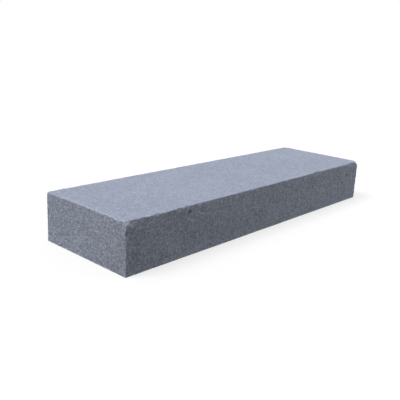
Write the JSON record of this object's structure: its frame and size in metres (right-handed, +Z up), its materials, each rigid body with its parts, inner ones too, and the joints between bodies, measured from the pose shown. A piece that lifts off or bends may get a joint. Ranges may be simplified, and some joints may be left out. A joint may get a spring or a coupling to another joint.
{
  "type": "granite block step",
  "caption": "Solid rectangular stone block with eased arrises and a finely textured tread and riser, laid on its bed to form one rise of an outdoor stair.",
  "frame": {"origin": "centre of the bed, the underside that the block lies on", "axes": "+X along the length of the step, +Y from the riser (front) to the back, +Z up to the tread"},
  "size_m": [1.2, 0.35, 0.15],
  "materials": {
    "granite": "flamed, matt and finely rough, dark grey with pale and near-black grains"
  },
  "bodies": {
    "root": {"block": "granite"}
  },
  "joints": []
}
